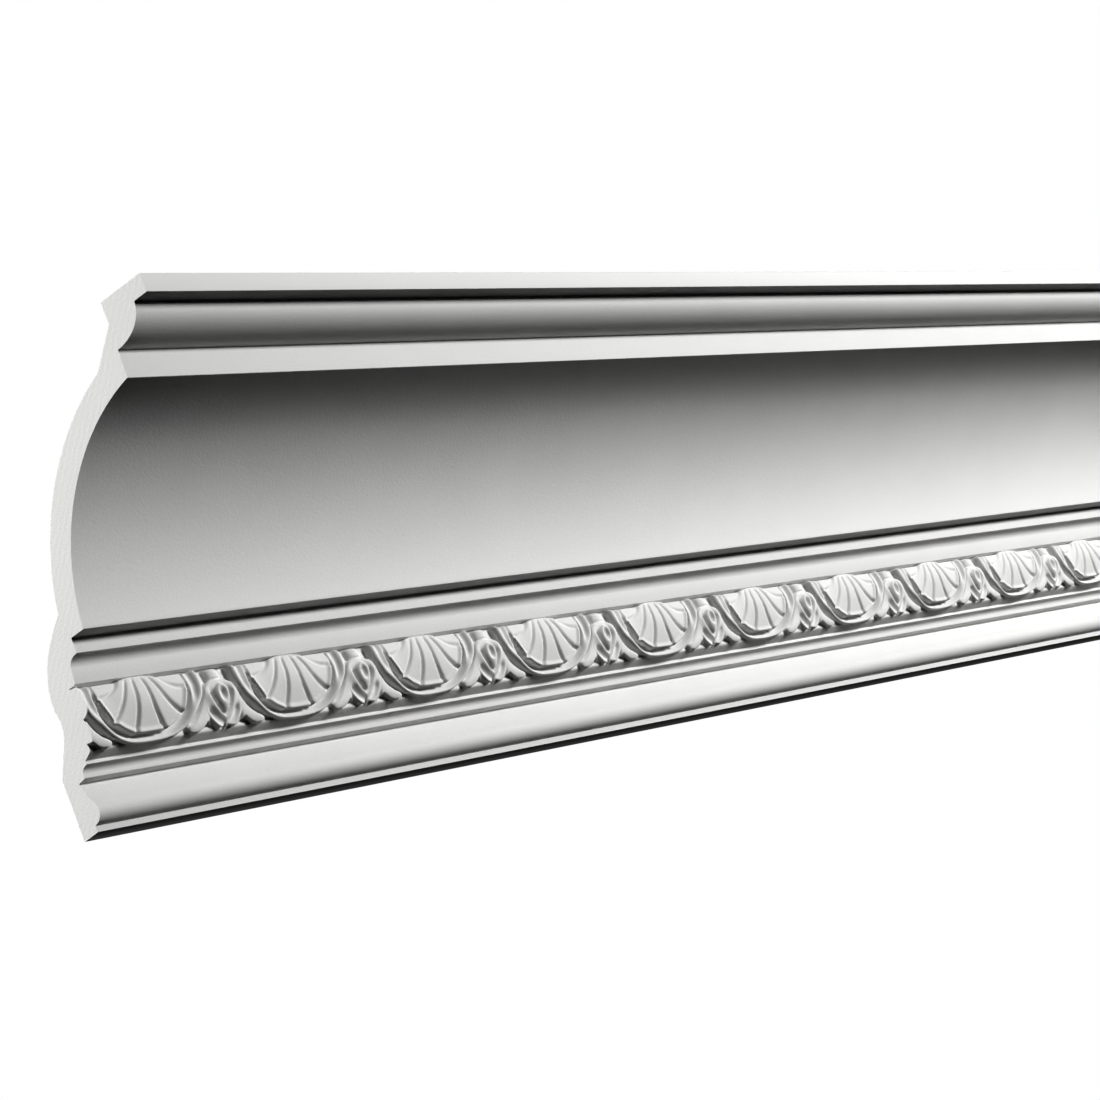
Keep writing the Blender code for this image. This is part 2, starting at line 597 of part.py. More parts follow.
def carve_band(mesh, place, net):
    """Halves of a repeat, each the mirror of the last, from one bud's axis to another's."""
    shared = {}
    for half in range(2 * (REPEATS + 1)):
        from_bud = half % 2 == 0
        start = half * HALF_REPEAT - CUT_FROM_BUD
        points = dict(shared)
        for index, across in enumerate(net.across):
            if index not in points:
                station = start + (HALF_REPEAT - across if from_bud else across)
                points[index] = place(station, net.out[index], net.up[index])
        for triangle in net.triangles:
            mesh.faces.new([points[index] for index in triangle])
        side = net.shell_side if from_bud else net.bud_side
        shared = {index: points[index] for index in side}


def saw_band(mesh, side):
    """Cut the carved band square at one end; gives the points of the cut, from the top down."""
    station = side * LENGTH / 2 * MM
    geometry = mesh.verts[:] + mesh.edges[:] + mesh.faces[:]
    bmesh.ops.bisect_plane(mesh, geom=geometry, dist=TWIN_DISTANCE * MM, plane_co=(station, 0, 0),
                           plane_no=(side, 0, 0), clear_outer=True)
    cut = [point for point in mesh.verts if abs(point.co.x - station) < 2 * TWIN_DISTANCE * MM]
    close = bmesh.ops.find_doubles(mesh, verts=cut, dist=MERGE_DISTANCE / 2 * MM)["targetmap"]
    bmesh.ops.weld_verts(mesh, targetmap=close)
    cut = [point for point in cut if point.is_valid]
    for point in cut:
        point.co.x = station
    column = [max(cut, key=lambda point: point.co.z)]
    left = {edge for edge in mesh.edges if edge.is_boundary and edge.verts[0] in cut and edge.verts[1] in cut}
    while left:
        onward = next(edge for edge in column[-1].link_edges if edge in left)
        left.remove(onward)
        column.append(onward.other_vert(column[-1]))
    return column


def border_row(mesh, ends):
    """The points of the band's border between two corners, from left to right."""
    row = [ends[0]]
    while row[-1] is not ends[1]:
        edges = [edge for edge in row[-1].link_edges if edge.is_boundary]
        onward = [edge.other_vert(row[-1]) for edge in edges]
        row.append(max(onward, key=lambda point: point.co.x))
    return row


def cap(mesh, ring):
    """Close a sawn end with triangles between the points of its outline."""
    for triangle in tessellate_polygon([[point.co for point in ring]]):
        mesh.faces.new([ring[index] for index in triangle])


def build_moulding():
    section = Section()
    mesh = bmesh.new()
    middle_of_seat = WALL_SEAT_HEIGHT / 2

    def place(along, out, up):
        return mesh.verts.new(((along - LENGTH / 2) * MM, -out * MM, (up - middle_of_seat) * MM))

    # The carved band
    carve_band(mesh, place, Net(section, Ornament(section)))
    left_cut = saw_band(mesh, -1)
    right_cut = saw_band(mesh, 1)
    bmesh.ops.triangulate(mesh, faces=[face for face in mesh.faces if len(face.verts) > 3])
    top_row = border_row(mesh, (left_cut[0], right_cut[0]))
    foot_row = border_row(mesh, (left_cut[-1], right_cut[-1]))

    # The plain members above and below it, each a straight strip from end to end
    upper = [[place(0.0, out, up), place(LENGTH, out, up)] for out, up in section.above]
    lower = [[place(0.0, out, up), place(LENGTH, out, up)] for out, up in section.below]
    rows = upper[:-1]
    rows.append([upper[-1][0]] + [place(i * REPEAT_LENGTH, *section.above[-1]) for i in range(1, REPEATS)]
                + [upper[-1][1]])
    for first, second in zip(rows[:-1], rows[1:]):
        zip_strip(mesh, first, second)
    zip_strip(mesh, rows[-1], top_row)
    zip_strip(mesh, foot_row, lower[0])
    for first, second in zip(lower[:-1], lower[1:]):
        zip_strip(mesh, first, second)
    zip_strip(mesh, lower[-1], upper[0])

    # The two sawn ends
    cap(mesh, [row[0] for row in upper] + left_cut + [row[0] for row in lower])
    cap(mesh, [row[1] for row in upper] + right_cut + [row[1] for row in lower])
    bmesh.ops.recalc_face_normals(mesh, faces=mesh.faces)
    data = bpy.data.meshes.new("cornice_moulding")
    mesh.to_mesh(data)
    mesh.free()
    moulding = bpy.data.objects.new("cornice_moulding", data)
    bpy.context.scene.collection.objects.link(moulding)
    return moulding


def white_primer():
    material = bpy.data.materials.new("white_primed_foam")
    material.use_nodes = True
    shader = material.node_tree.nodes["Principled BSDF"]
    shader.inputs["Base Color"].default_value = (0.88, 0.88, 0.87, 1.0)
    shader.inputs["Roughness"].default_value = 0.5
    shader.inputs["Metallic"].default_value = 0.0
    return material


remove_everything()
cornice = build_moulding()
cornice.data.materials.append(white_primer())
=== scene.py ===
# %% [markdown]
# # A length of cornice moulding
#
# A cornice covers the corner between a wall and a ceiling.  This one is a single casting in hard foam,
# primed white: a deep hollow cove hangs between plain steps, and a carved band of shells and buds runs
# under it.  The solid model already has every member at its true size, but its curves are flat facets.
# This lesson models the same casting again with fine curves, soft arrises and full carving, then
# paints and lights it.

# %% Load the solid model
import math

import bmesh
import bpy
import numpy as np
from mathutils import Matrix, Vector


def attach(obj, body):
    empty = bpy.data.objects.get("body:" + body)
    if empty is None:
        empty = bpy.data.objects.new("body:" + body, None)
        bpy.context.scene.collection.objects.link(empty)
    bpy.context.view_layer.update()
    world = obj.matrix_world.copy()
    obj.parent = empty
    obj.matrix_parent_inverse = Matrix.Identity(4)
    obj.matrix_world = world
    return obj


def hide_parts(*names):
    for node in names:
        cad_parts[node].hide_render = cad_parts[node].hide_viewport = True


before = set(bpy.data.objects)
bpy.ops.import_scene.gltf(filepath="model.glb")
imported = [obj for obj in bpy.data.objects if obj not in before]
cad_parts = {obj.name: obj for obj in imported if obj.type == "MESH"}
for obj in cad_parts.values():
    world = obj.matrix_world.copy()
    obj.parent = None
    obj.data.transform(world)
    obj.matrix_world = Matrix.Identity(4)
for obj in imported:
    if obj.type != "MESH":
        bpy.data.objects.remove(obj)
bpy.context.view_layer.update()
MM = 0.001

# %% [markdown]
# The camera comes first, because every later choice is judged through it.  The picture looks up from
# below and left with a long lens, so the long edges run together towards the right.  The three directions
# below are the camera's own right, up and forward.  The focal length is given as a share of the width
# of the picture, so it holds for a sensor of any size.

# %% Camera
CAMERA_RIGHT = Vector((0.6195, -0.6929, -0.3689))
CAMERA_UP = Vector((0.0724, -0.4176, 0.9058))
CAMERA_FORWARD = Vector((0.7816, 0.5879, 0.2085))
CAMERA_PLACE = Vector((-1.2106, -0.8526, -0.2196))
SENSOR_WIDTH = 36.0
FOCAL_SHARE = 3050 / 1100

camera_data = bpy.data.cameras.new("camera")
camera_data.sensor_width = SENSOR_WIDTH
camera_data.lens = SENSOR_WIDTH * FOCAL_SHARE
camera = bpy.data.objects.new("camera", camera_data)
bpy.context.scene.collection.objects.link(camera)
turn = Matrix((CAMERA_RIGHT, CAMERA_UP, -CAMERA_FORWARD)).transposed()
camera.matrix_world = Matrix.Translation(CAMERA_PLACE) @ turn.to_4x4()
bpy.context.scene.camera = camera
print("lens", round(camera_data.lens, 1), "mm")

# %% [markdown]
# The plain members are one outline, drawn in the plane square to the length.  A plasterer runs such an
# outline with a cut metal profile; a foam maker mills it into a mould.  Either way it is a list of
# fillets, hollows and rounds, so it is worked out here from the same sizes as the solid, as points
# (out, up): out from the wall and up from the bottom edge, in millimetres.  The photograph shows no
# ruler: the proportions were measured in it, and the drop is a common one for such mouldings.

# %% Overall sizes
REPEATS = 10
REPEAT_LENGTH = 84.0
LENGTH = REPEATS * REPEAT_LENGTH
MOULDING_HEIGHT = 175.0
PROJECTION = 131.2
print("length", LENGTH, "mm, drop", MOULDING_HEIGHT, "mm, projection", PROJECTION, "mm")

# %% [markdown]
# Every curve of a moulding is an arc, or an easy bend between two straight runs.  Blender's own curve
# objects could draw them, but three short functions give the points themselves, and those are needed
# later to find single edges again.


# %% Curves of the section
def arc(centre, radii, start, end, steps):
    """Points of an elliptical arc, angles in degrees, both ends included."""
    angles = np.radians(np.linspace(start, end, steps + 1))
    return [(centre[0] + radii[0] * math.cos(a), centre[1] + radii[1] * math.sin(a)) for a in angles]


def swept(first, handle, last, steps):
    """Points of a curve that leaves one point and arrives at another along lines to a handle."""
    shares = np.linspace(0, 1, steps + 1)[:, None]
    first, handle, last = np.array(first), np.array(handle), np.array(last)
    points = (1 - shares) ** 2 * first + 2 * shares * (1 - shares) * handle + shares ** 2 * last
    return [tuple(point) for point in points]


def circle_through(first, middle, last):
    """Centre and radius of the circle through three points."""
    (ax, ay), (bx, by), (cx, cy) = first, middle, last
    twice_area = 2 * (ax * (by - cy) + bx * (cy - ay) + cx * (ay - by))
    a2, b2, c2 = ax * ax + ay * ay, bx * bx + by * by, cx * cx + cy * cy
    x = (a2 * (by - cy) + b2 * (cy - ay) + c2 * (ay - by)) / twice_area
    y = (a2 * (cx - bx) + b2 * (ax - cx) + c2 * (bx - ax)) / twice_area
    return (x, y), math.hypot(ax - x, ay - y)


quarter = arc((0, 0), (1, 1), 0, 90, steps=2)
print("a quarter circle in two steps:", [(round(x, 2), round(y, 2)) for x, y in quarter])

# %% [markdown]
# Above the band, from the ceiling down: the seat on the ceiling, a flat fillet with a shadow step under
# it, a quarter-round ovolo, a fillet, the cove, another step and fillet, and a small hollow that runs
# out in a sloping face.  The cove is one arc of a large circle.  It takes most of the points, because
# its long even shade would show every facet.

# %% Front of the section, above the band
TOP_FILLET_HEIGHT = 7.7
TOP_SOFFIT_DEPTH = 7.6
OVOLO = (16.3, 11.8)
COVE_FILLET = (0.6, 11.3)
COVE_RADIUS = 81.8
COVE_ANGLES = (99.7, 174.2)
COVE_SOFFIT = (7.7, 0.3)
MIDDLE_FILLET_HEIGHT = 6.3
CAP_HOLLOW = (5.8, 4.3)
CAP_FACE = (0.9, 5.8)
CEILING_SEAT = (23.6, 9.0)

front_top = MOULDING_HEIGHT - TOP_FILLET_HEIGHT
ovolo_foot = (PROJECTION - TOP_SOFFIT_DEPTH - OVOLO[0], front_top - OVOLO[1])
cove_top = (ovolo_foot[0] - COVE_FILLET[0], ovolo_foot[1] - COVE_FILLET[1])
start_angle = math.radians(COVE_ANGLES[0])
cove_centre = (cove_top[0] - COVE_RADIUS * math.cos(start_angle),
               cove_top[1] - COVE_RADIUS * math.sin(start_angle))
cove = arc(cove_centre, (COVE_RADIUS, COVE_RADIUS), *COVE_ANGLES, steps=72)
fillet_top = (cove[-1][0] - COVE_SOFFIT[0], cove[-1][1] - COVE_SOFFIT[1])
fillet_foot = (fillet_top[0], fillet_top[1] - MIDDLE_FILLET_HEIGHT)
cap_hollow = arc((fillet_foot[0], fillet_foot[1] - CAP_HOLLOW[1]), CAP_HOLLOW, 90, 180, steps=16)
cap_lip = (cap_hollow[-1][0] - CAP_FACE[0], cap_hollow[-1][1] - CAP_FACE[1])

seat_back = PROJECTION - CEILING_SEAT[0]
above = [(seat_back, MOULDING_HEIGHT - CEILING_SEAT[1]), (seat_back, MOULDING_HEIGHT)]
above += [(PROJECTION, MOULDING_HEIGHT), (PROJECTION, front_top)]
above += arc((ovolo_foot[0], front_top), OVOLO, 0, -90, steps=24)
above += cove + [fillet_top] + cap_hollow + [cap_lip]
print("outline above the band:", len(above), "points")

# %% [markdown]
# The carving lies on a bed that swells a little between the step above it and the lip below it.  Its
# two ends and the crest of the swell fix the circle.

# %% Bed of the carving
BED_SOFFIT = (4.0, 0.4)
BED_FALL = (5.1, 27.5)
BED_BULGE = 3.97

bed_top = (cap_lip[0] - BED_SOFFIT[0], cap_lip[1] - BED_SOFFIT[1])
bed_foot = (bed_top[0] - BED_FALL[0], bed_top[1] - BED_FALL[1])
chord = Vector(bed_foot) - Vector(bed_top)
bulge = (Vector(bed_top) + Vector(bed_foot)) / 2 + Vector((-chord.y, chord.x)).normalized() * BED_BULGE
bed_centre, bed_radius = circle_through(bed_top, tuple(bulge), bed_foot)
bed_start = math.atan2(bed_top[1] - bed_centre[1], bed_top[0] - bed_centre[0])
bed_end = math.atan2(bed_foot[1] - bed_centre[1], bed_foot[0] - bed_centre[0])
bed_depth = bed_radius * (bed_start - bed_end)
print("bed:", round(bed_depth, 2), "mm down its curve, radius", round(bed_radius, 1), "mm")

# %% [markdown]
# Below the band the section steps back to the wall: a lip, a small hollow, a fillet, a neck that eases
# out into a bead, and the bottom fillet.  The underside rises a little to the front, which shows in the
# photograph as a thin dark line under the whole length.

# %% Front of the section, below the band
LIP = (0.3, 1.5)
LOW_HOLLOW = (3.9, 2.8)
LOW_FILLET_HEIGHT = 1.5
NECK_SOFFIT = (4.0, 0.7)
NECK_HEIGHT = 9.2
NECK_HANDLE = (2.4, 0.72)
BEAD_RADIUS = 4.9
BEAD_OUT = 0.6
BEAD_ANGLES = (40, -80)
BOTTOM_FILLET_IN = 4.8
BOTTOM_RISE = 0.7

lip_foot = (bed_foot[0] + LIP[0], bed_foot[1] - LIP[1])
low_hollow = arc((lip_foot[0], lip_foot[1] - LOW_HOLLOW[1]), LOW_HOLLOW, 90, 180, steps=10)
hollow_foot = (low_hollow[-1][0], low_hollow[-1][1] - LOW_FILLET_HEIGHT)
neck_top = (hollow_foot[0] - NECK_SOFFIT[0], hollow_foot[1] - NECK_SOFFIT[1])
bead_rise = BEAD_RADIUS * math.sin(math.radians(BEAD_ANGLES[0]))
bead_centre = (neck_top[0] + BEAD_OUT, neck_top[1] - NECK_HEIGHT - bead_rise)
bead = arc(bead_centre, (BEAD_RADIUS, BEAD_RADIUS), *BEAD_ANGLES, steps=20)
neck_handle = (neck_top[0] + NECK_HANDLE[0], neck_top[1] - NECK_HEIGHT * NECK_HANDLE[1])
neck = swept(neck_top, neck_handle, bead[0], steps=16)
bottom_out = bead_centre[0] + BEAD_RADIUS - BOTTOM_FILLET_IN
print("bead ends", round(bead[-1][1], 2), "mm above the bottom edge")

# %% [markdown]
# The back is hollowed out, which saves foam and leaves room for adhesive.  It follows the band and the
# cove at about 12 mm and touches only the wall, with a tall seat, and the ceiling, with a short one.

# %% Back of the section
WALL_SEAT_HEIGHT = 25.4
COVE_WALL = 11.4
COVE_BACK_ANGLES = (168.5, 107)
BAND_WALL = 12.4
BAND_BACK_FOOT_ANGLE = -35
BEND_HANDLE = (1.0, 1.5)

back_radius = COVE_RADIUS + COVE_WALL
back_cove = arc(cove_centre, (back_radius, back_radius), *COVE_BACK_ANGLES, steps=36)
band_back_radius = bed_radius - BAND_WALL
band_back = arc(bed_centre, (band_back_radius, band_back_radius), BAND_BACK_FOOT_ANGLE,
                math.degrees(bed_start), steps=12)
bend_handle = (band_back[-1][0] - BEND_HANDLE[0],
               (band_back[-1][1] + back_cove[0][1]) / 2 + BEND_HANDLE[1])
back = band_back[:-1] + swept(band_back[-1], bend_handle, back_cove[0], steps=12)[:-1] + back_cove
below = [lip_foot] + low_hollow[1:] + [hollow_foot] + neck[:-1] + bead
below += [(bottom_out, bead[-1][1]), (bottom_out, BOTTOM_RISE), (0.0, 0.0), (0.0, WALL_SEAT_HEIGHT)]
below += back
print("outline below the band and round the back:", len(below), "points")

# %% [markdown]
# By hand one would click on the edges and faces to work on.  A script can't click, so these helpers open
# a piece in edit mode and select whatever passes a test, such as lying at one place of the section.


# %% Helpers for selecting
def deselect_objects():
    for thing in bpy.context.selected_objects:
        thing.select_set(False)


def edit(piece):
    """Open one piece in edit mode with nothing selected."""
    deselect_objects()
    piece.select_set(True)
    bpy.context.view_layer.objects.active = piece
    bpy.ops.object.mode_set(mode="EDIT")
    bpy.ops.mesh.select_all(action="DESELECT")


def choose(piece, kind, test):
    """Select the edges or faces that pass a test; gives how many."""
    bpy.ops.mesh.select_mode(type=kind)
    bpy.ops.mesh.select_all(action="DESELECT")
    net = bmesh.from_edit_mesh(piece.data)
    chosen = [item for item in (net.edges if kind == "EDGE" else net.faces) if test(item)]
    for item in chosen:
        item.select_set(True)
    bmesh.update_edit_mesh(piece.data)
    return len(chosen)


def section_point(out, up):
    """A point of the section as (y, z) in metres."""
    return -out * MM, (up - WALL_SEAT_HEIGHT / 2) * MM


print("the lip of the step above the band lies at", [round(v, 4) for v in section_point(*cap_lip)])

# %% [markdown]
# The outline becomes a solid run as it would by hand: a circle is added with one point for each point of
# the outline, the points are moved onto the outline, and the ring is extruded along the length.  A sweep
# along a curve would do the same, but the ring keeps every point where the sizes put it.  The sharp
# arrises are then bevelled by a quarter of a millimetre, because a casting that has been primed never
# has a knife edge.

# %% Run the plain members
ARRIS_WIDTH = 0.25
ARRIS_ANGLE = math.radians(24)
TWIN_DISTANCE = 0.05
SAME_PLACE = MM / 100

outline = []
for point in above + [bed_top, bed_foot] + below:
    if not outline or math.dist(outline[-1], point) > TWIN_DISTANCE:
        outline.append(point)
deselect_objects()
bpy.ops.mesh.primitive_circle_add(vertices=len(outline), radius=0.1)
moulding = bpy.context.object
moulding.name = "cornice_casting"
moulding.data.name = "cornice_casting"
for vertex, (out, up) in zip(moulding.data.vertices, outline):
    vertex.co = (-LENGTH / 2 * MM, *section_point(out, up))
edit(moulding)
bpy.ops.mesh.select_all(action="SELECT")
bpy.ops.mesh.extrude_edges_move(TRANSFORM_OT_translate={"value": (LENGTH * MM, 0, 0)})
bpy.ops.mesh.select_all(action="SELECT")
bpy.ops.mesh.normals_make_consistent(inside=False)


def is_arris(edge):
    """A long sharp edge, apart from the two that the carving will start from."""
    first, second = edge.verts
    bed_gap = min(math.dist(first.co.yz, section_point(*place)) for place in (bed_top, bed_foot))
    runs_along = abs(first.co.x - second.co.x) > MM
    return runs_along and bed_gap >= SAME_PLACE and edge.calc_face_angle() > ARRIS_ANGLE


arrises = choose(moulding, "EDGE", is_arris)
bpy.ops.mesh.bevel(offset=ARRIS_WIDTH * MM, segments=3, affect="EDGES", clamp_overlap=True)
bpy.ops.object.mode_set(mode="OBJECT")
print("ring of", len(outline), "points;", arrises, "arrises softened")

# %% [markdown]
# Between the step above the band and the lip below it the run is opened, because the carving goes there.
# Three long faces are deleted: the step's underside, the stand-in for the band, and the narrow face of
# the lip.  The first and the last come back later, joined to the carving point by point.


# %% Open the run for the carving
CENTRE_REACH = MM / 2


def middle_between(first, second):
    return Vector((0.0, *section_point((first[0] + second[0]) / 2, (first[1] + second[1]) / 2)))


middles = [middle_between(*ends) for ends in ((cap_lip, bed_top), (bed_top, bed_foot), (bed_foot, lip_foot))]


def is_opened(face):
    return any((face.calc_center_median() - middle).length < CENTRE_REACH for middle in middles)


edit(moulding)
count = choose(moulding, "FACE", is_opened)
bpy.ops.mesh.delete(type="ONLY_FACE")
choose(moulding, "EDGE", lambda edge: not edge.link_faces)
bpy.ops.mesh.delete(type="EDGE")
bpy.ops.object.mode_set(mode="OBJECT")
print("faces opened:", count)

# %% [markdown]
# The carving repeats: a shell of five lobes in a looped strap, then a leafy bud.  Each half repeat is
# the mirror of the next, so only one half is drawn, on a grid of 42 steps from the shell's axis to the
# bud's axis and 30 steps down the curved bed.  The carving could be sculpted, but a cast pattern is
# exact and repeats without a seam, so each part is given as a height above the bed: how far a point is
# from a drawn line says how high it stands.  The highest part wins at each place, just as a carver
# leaves one form standing in front of another.

# %% Soft steps and smooth lines
GRID_ACROSS = 42
GRID_DOWN = 30


def smooth_step(share):
    """A soft rise from 0 to 1 while a share goes from 0 to 1, level at both ends."""
    share = np.clip(share, 0.0, 1.0)
    return share * share * (3 - 2 * share)


def through(points, steps=6):
    """A smooth line through drawn points, with a few steps between each two."""
    points = np.array(points, dtype=float)
    padded = np.vstack([2 * points[0] - points[1], points, 2 * points[-1] - points[-2]])
    line = []
    for index in range(1, len(padded) - 2):
        a, b, c, d = padded[index - 1:index + 3]
        for share in np.arange(steps) / steps:
            line.append(0.5 * (2 * b + (c - a) * share + (2 * a - 5 * b + 4 * c - d) * share ** 2
                               + (3 * b - a - 3 * c + d) * share ** 3))
    line.append(points[-1])
    return np.array(line)


print("grid", GRID_ACROSS, "by", GRID_DOWN, "steps of", REPEAT_LENGTH / 2 / GRID_ACROSS, "mm along")

# %% [markdown]
# Every height below is read off from two measures: how far a place is from a line, and whether it lies
# inside an outline.  Both are worked out for the whole grid at once.  An outline is drawn on one side of
# the axis only and closed over it.


# %% Distances to lines and outlines
def distance_to(line, across, down):
    """Shortest distance from each place to a line, and how far along it, as a share."""
    best = np.full(across.shape, np.inf)
    along = np.zeros(across.shape)
    for index, (first, second) in enumerate(zip(line[:-1], line[1:])):
        run = second - first
        if not run.any():
            continue
        share = ((across - first[0]) * run[0] + (down - first[1]) * run[1]) / (run @ run)
        share = np.clip(share, 0.0, 1.0)
        gap = np.hypot(across - first[0] - share * run[0], down - first[1] - share * run[1])
        nearer = gap < best
        best = np.where(nearer, gap, best)
        along = np.where(nearer, (index + share) / (len(line) - 1), along)
    return best, along


def inside(outline, across, down):
    """True inside a closed outline."""
    result = np.zeros(across.shape, dtype=bool)
    for (ax, ay), (bx, by) in zip(outline, np.roll(outline, -1, axis=0)):
        if ay != by:
            result ^= ((ay > down) != (by > down)) & (across < (bx - ax) * (down - ay) / (by - ay) + ax)
    return result


def depth_inside(outline, across, down):
    """Distance to a closed outline, positive inside it and negative outside."""
    gap, _ = distance_to(np.vstack([outline, outline[:1]]), across, down)
    return np.where(inside(outline, across, down), gap, -gap)


def looped(line):
    """A half outline closed over the axis and well above the band."""
    high = line[0][1] - GRID_DOWN
    corners = [(-line[0][0], high), (line[0][0], high)]
    return np.vstack([line, line[-2::-1] * np.array([-1, 1]), corners])


gap, share = distance_to(np.array([(0.0, 0.0), (4.0, 0.0)]), np.array([1.0]), np.array([2.0]))
print("a place 2 steps off a line and 1 step along it: gap", gap[0], "share", share[0])

# %% [markdown]
# The shell stands four millimetres proud.  Its lobes are almost flat, dip a little before the rim and
# rise again to a bright lip, and the cuts between them are narrow and sharp.  In the top corners
# a small web of plain surface joins the shell to the strap.  Its lines are drawn first, as (across,
# down) in steps of the grid: the rim, the two cuts on this side of the axis, and the fold of the web.

# %% Lines of the shell
SHELL_RIM = [(24.3, 7.2), (23.1, 10.2), (21.4, 13.4), (19.0, 17.0), (13.6, 20.0), (9.0, 21.8),
             (8.2, 22.7), (7.2, 21.9), (3.6, 22.1), (0, 22.2)]
INNER_GROOVE = [(2.0, 0.6), (2.9, 4.0), (3.7, 9.6), (4.9, 14.8), (8.2, 23.2)]
OUTER_GROOVE = [(5.6, 0.6), (7.4, 4.0), (10.4, 9.0), (13.6, 13.0), (18.3, 17.3)]
WEB_FOLD = [(9.6, 0.8), (12.6, 4.4), (18.0, 6.9), (24.2, 7.9)]

rim_line = np.array(SHELL_RIM, dtype=float)
groove_lines = [through(INNER_GROOVE), through(OUTER_GROOVE)]
web_line = through(WEB_FOLD)
web_corner = [(GRID_ACROSS, WEB_FOLD[-1][1]), (GRID_ACROSS, -GRID_DOWN), (WEB_FOLD[0][0], -GRID_DOWN)]
web_outline = np.vstack([web_line, web_corner])
print("points on the rim, cuts and fold:", [len(line) for line in (rim_line, *groove_lines, web_line)])

# %% [markdown]
# The shell's height then comes from those lines.  The scoop is measured from an eye above the shell,
# where all the lobes would meet, the lip from the rim, and each cut gets deeper and wider on its way
# down.  The crest of the shell arches up to the step above, and the web drops away behind its fold.

# %% Height of the shell
SHELL_RELIEF = 4.1
SHELL_SCOOP = 0.95
SHELL_EYE = -6.5
SCOOP_START = 13
SCOOP_RUN = 12
SHELL_LIP_RISE = 1.1
LIP_WIDTH = 2.4
GROOVE_CUT = 1.7
GROOVE_START = 3.5
GROOVE_WIDTH = 0.85
WEB_DROP = 1.3
WEB_TILT = 1.0
WEB_FOLD_CUT = 0.6
FOLD_WIDTH = 0.6
TOP_EDGE = 0.5
TOP_FALL = 0.9
EDGE_FALL = 0.9
SHELL_OVERHANG = EDGE_FALL / 2
ARCH_REACH = 10.5
ARCH_TOP = -0.9
ARCH_FALL = 1.3


def shell(across, down):
    depth = depth_inside(looped(rim_line), across, down)
    rim_gap, _ = distance_to(rim_line, across, down)
    reach = np.hypot(across, down - SHELL_EYE)
    height = SHELL_RELIEF - SHELL_SCOOP * smooth_step((reach - SCOOP_START) / SCOOP_RUN)
    height = height + SHELL_LIP_RISE * smooth_step(1 - rim_gap / LIP_WIDTH)
    for groove in groove_lines:
        gap, along = distance_to(groove, across, down)
        share = (1 + along) / 2
        cut = GROOVE_CUT * share * smooth_step(down / GROOVE_START)
        height = height - cut * np.exp(-(gap / (GROOVE_WIDTH * share)) ** 2)
    web_gap, _ = distance_to(web_line, across, down)
    over_web = inside(web_outline, across, down)
    web = SHELL_RELIEF - WEB_DROP + WEB_TILT * down / WEB_FOLD[-1][1]
    arch = ARCH_TOP + (TOP_EDGE - ARCH_TOP) * np.clip(across / ARCH_REACH, 0, 2) ** 2
    height = height * smooth_step((down - arch) / ARCH_FALL) * smooth_step(down / TOP_EDGE)
    web = web * smooth_step((down - TOP_EDGE) / TOP_FALL)
    height = np.where(over_web, web + (height - web) * smooth_step(1 - web_gap / FOLD_WIDTH), height)
    height = height - WEB_FOLD_CUT * np.exp(-(web_gap / FOLD_WIDTH) ** 2)
    return np.maximum(height, 0) * smooth_step((depth + SHELL_OVERHANG) / EDGE_FALL)


print("shell stands", SHELL_RELIEF, "mm above the bed")

# %% [markdown]
# The strap is one ribbon looped under each shell.  High up it is a thin inner ridge and a broad outer
# ridge with a channel between them; as it passes under the shell the channel runs out and it becomes
# one round bead.  Both shapes are drawn across the ribbon, from its inner edge to its outer edge, and
# the lower one takes over from the upper one on the way down.

# %% Strap
STRAP_INNER = [(24.0, 0), (24.1, 4.0), (24.6, 8.5), (24.0, 12.6), (21.8, 16.4), (17.4, 20.2),
               (11.4, 22.8), (5.6, 23.7), (0, 23.9)]
STRAP_OUTER = [(33.0, 0), (33.3, 4.0), (33.0, 8.5), (31.0, 13.0), (28.0, 16.8), (24.4, 20.0),
               (20.0, 22.9), (13.6, 25.2), (6.8, 26.0), (0, 26.2)]
RIBBON_SHARES = [0, 0.06, 0.13, 0.22, 0.38, 0.5, 0.64, 0.76, 0.88, 0.96, 1]
RIBBON_HEIGHTS = [0, 2.2, 3.3, 3.0, 2.1, 2.4, 3.7, 4.2, 3.5, 2.0, 0]
BEAD_HEIGHTS = [0, 1.0, 1.9, 2.9, 3.9, 4.2, 3.9, 3.2, 2.0, 0.8, 0]
STRAP_RELIEF = max(BEAD_HEIGHTS)
CHANNEL_END = 17.5
CHANNEL_FADE = 8.0
FINGER_TIP = 1.8
TINY = 1e-6

inner_line = through(STRAP_INNER)
outer_line = through(STRAP_OUTER)


def rounded(share):
    """Height of a round-backed bead: 1 on its crest, 0 at its edge."""
    return np.sqrt(np.clip(1 - share * share, 0.0, 1.0))


def finger_end(down):
    """The rounded top end of the strap and the tab: 0 under the step, 1 a little lower."""
    return rounded(1 - np.clip((down - TOP_EDGE) / FINGER_TIP, 0.0, 1.0))


def strap(across, down):
    from_inner, _ = distance_to(inner_line, across, down)
    from_outer, _ = distance_to(outer_line, across, down)
    share = from_inner / (from_inner + from_outer + TINY)
    ribbon = np.interp(share, RIBBON_SHARES, RIBBON_HEIGHTS)
    bead = np.interp(share, RIBBON_SHARES, BEAD_HEIGHTS)
    high_up = smooth_step((CHANNEL_END - down) / CHANNEL_FADE)
    between = inside(looped(outer_line), across, down) & ~inside(looped(inner_line), across, down)
    return np.where(between, bead + (ribbon - bead) * high_up, 0.0) * finger_end(down)


print("strap stands", STRAP_RELIEF, "mm above the bed")

# %% [markdown]
# The bud hangs between two straps.  Around it lie a scooped leaflet on each side and a big convex leaf
# whose light tip curls out over the ledge; two arms come down from a hood and meet in a V.  Its places
# are measured from its own axis, so it can be redrawn without touching the shell.

